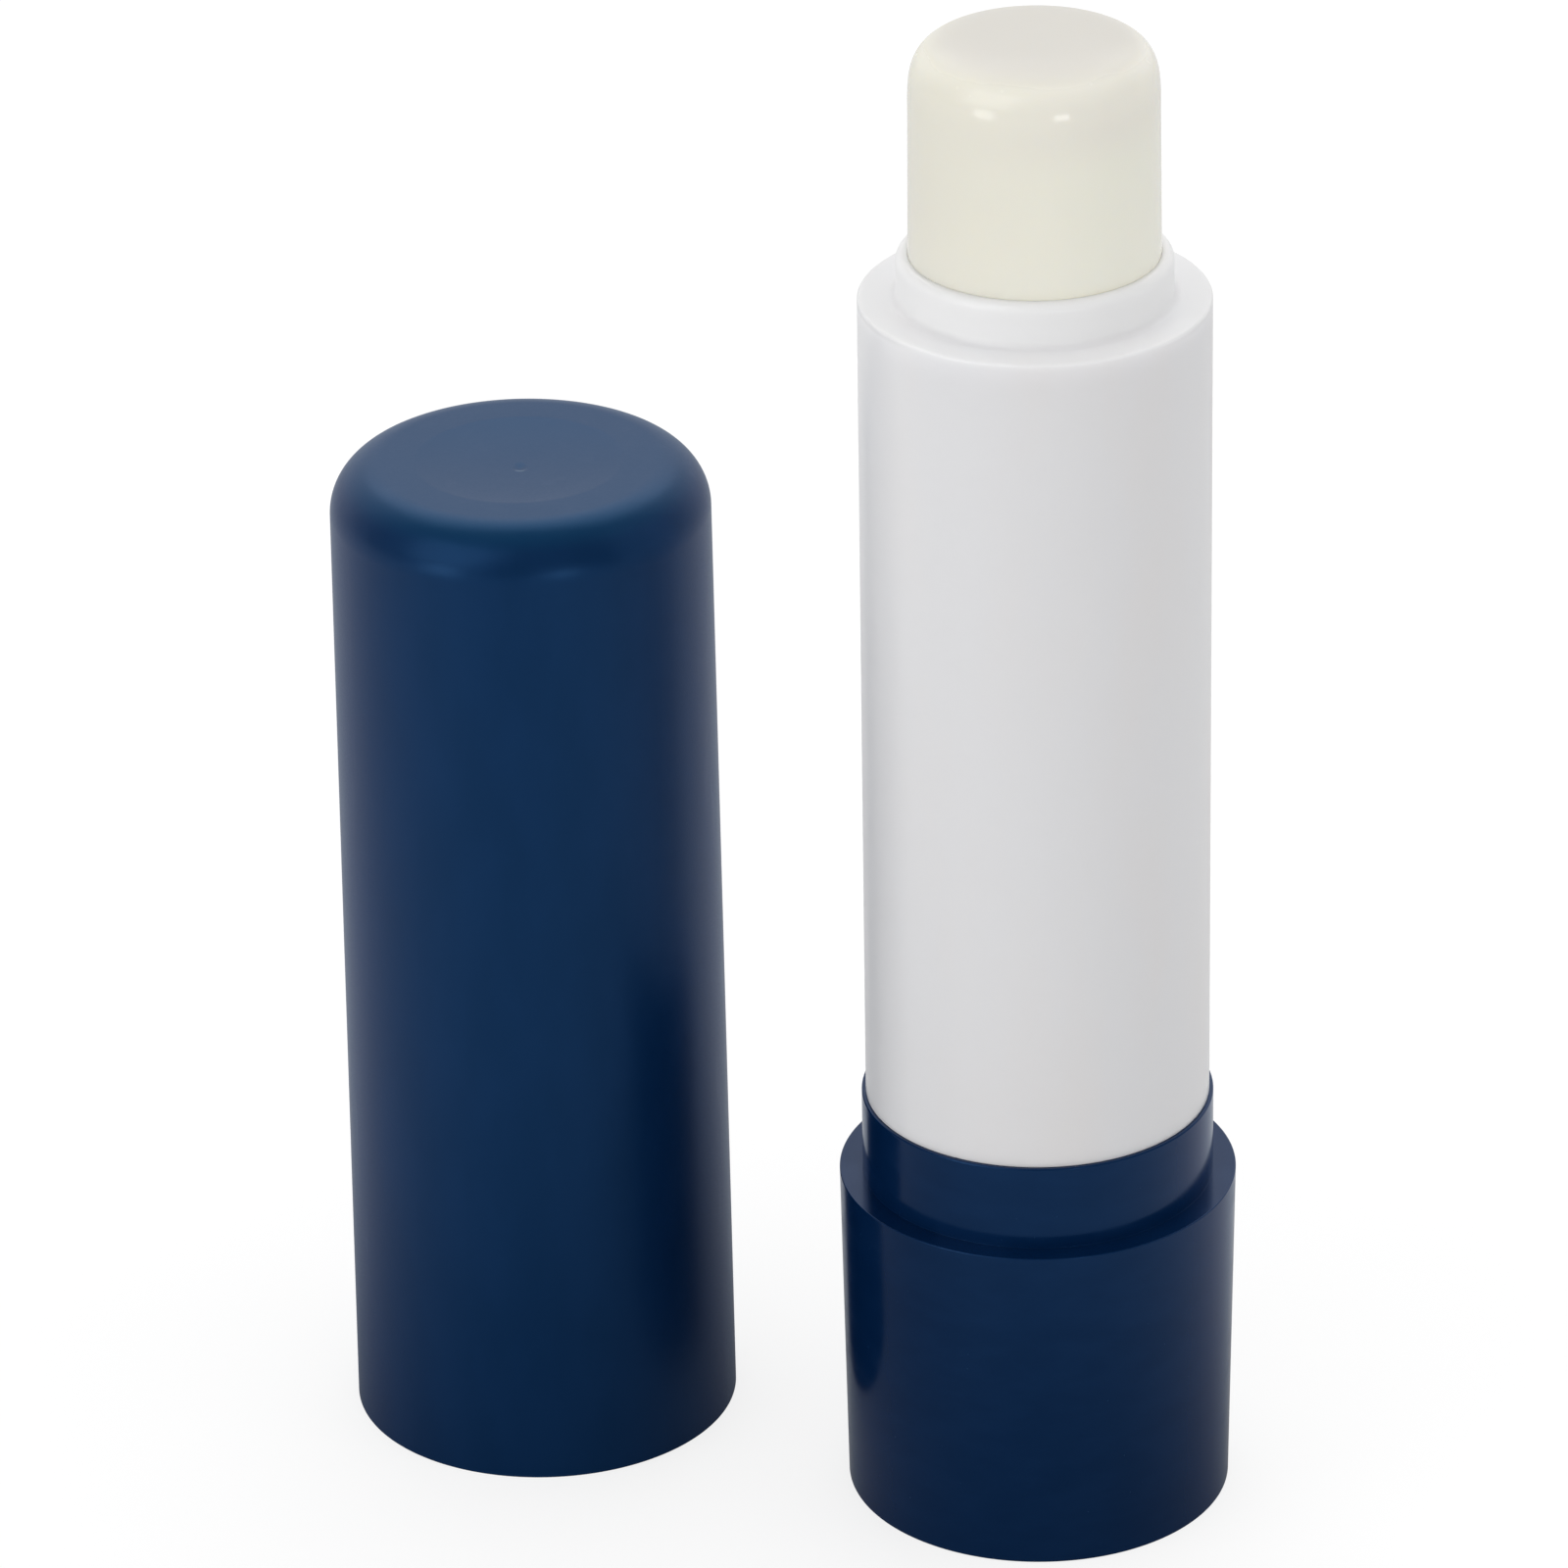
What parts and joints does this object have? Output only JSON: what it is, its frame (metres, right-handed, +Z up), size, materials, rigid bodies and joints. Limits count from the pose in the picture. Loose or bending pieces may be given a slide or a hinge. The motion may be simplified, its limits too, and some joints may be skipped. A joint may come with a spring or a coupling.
{
  "type": "lip balm stick",
  "caption": "Twist-up lip balm stick: navy grip with a collar, white barrel and neck, raised off-white balm, and a matching navy cap standing beside it.",
  "frame": {"origin": "centre of the underside of the base, on the stick's own axis", "axes": "+Z up along the stick's axis; +X to the right and +Y away from the viewer, who sees the cap on the left of the stick"},
  "size_m": [0.044, 0.0284, 0.0767],
  "materials": {
    "navy_satin_plastic": "satin moulded",
    "navy_gloss_plastic": "semi-gloss moulded",
    "white_plastic": "semi-gloss moulded",
    "natural_plastic": "uncoloured moulded",
    "balm_wax": "smooth soft wax"
  },
  "bodies": {
    "base_body": {"base": "navy_gloss_plastic", "inner_tube": "natural_plastic"},
    "barrel_body": {"barrel": "white_plastic", "spiral_sleeve": "natural_plastic"},
    "balm_carrier": {"balm_cup": "natural_plastic", "balm": "balm_wax"},
    "cap_body": {"cap": "navy_satin_plastic"}
  },
  "joints": [
    {"name": "barrel_turn", "type": "hinge", "parent": "base_body", "child": "barrel_body", "pos_m": [0, 0, 0.0425], "axis": [0, 0, 1], "range_deg": [-661.5, 265.5]},
    {"name": "balm_rise", "type": "slide", "parent": "base_body", "child": "balm_carrier", "axis": [0, 0, 1], "range_m": [-0.0118, 0.0294]},
    {"name": "cap_lift", "type": "slide", "parent": "base_body", "child": "cap_body", "axis": [0, 0, 1], "range_m": [0, 0.1]}
  ],
  "couplings": [
    {"joint": "balm_rise", "follows": "barrel_turn", "m_per_rad": -0.0025465}
  ]
}
